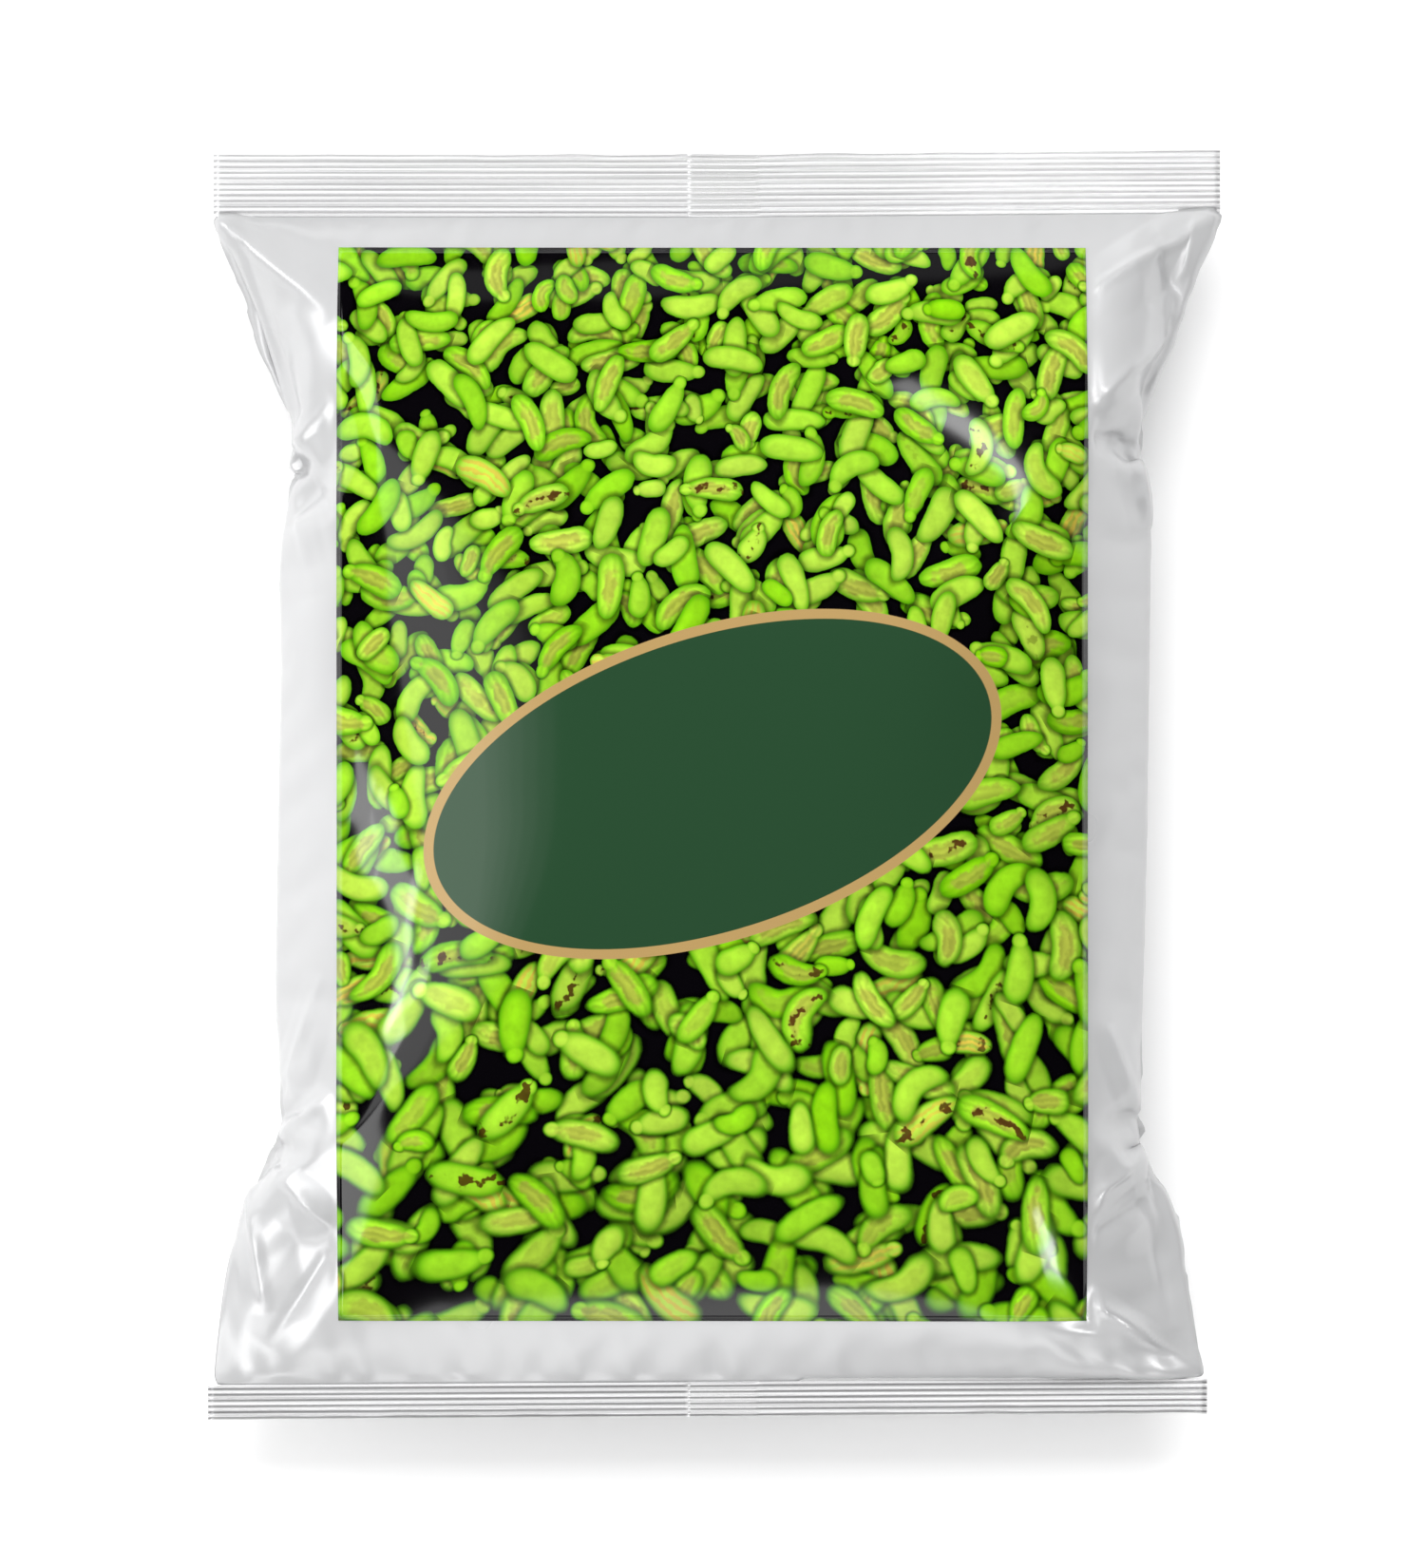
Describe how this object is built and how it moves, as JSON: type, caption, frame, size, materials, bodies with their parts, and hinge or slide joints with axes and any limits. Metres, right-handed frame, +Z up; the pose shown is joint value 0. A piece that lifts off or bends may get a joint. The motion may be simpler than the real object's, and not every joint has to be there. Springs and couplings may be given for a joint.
{
  "type": "sealed pillow pouch of fennel seeds",
  "caption": "Full heat-sealed pillow pouch with ribbed crimp seals, a fin seal down its back and a printed seed label on its front, lying on its back.",
  "frame": {"origin": "on the surface that the pouch lies on, below the middle of its outline", "axes": "+Z up out of the label side, +Y towards the pouch's top seal, +X to the right of someone reading the front"},
  "size_m": [0.16, 0.2016, 0.0476],
  "materials": {
    "film": "white glossy packaging film",
    "label": "glossy print of green fennel seeds with a bare dark green oval badge",
    "seeds": "dry ridged fennel seeds, dull"
  },
  "bodies": {
    "root": {"pouch_film": "film", "front_label": "label", "seed_fill": "seeds"}
  },
  "joints": []
}
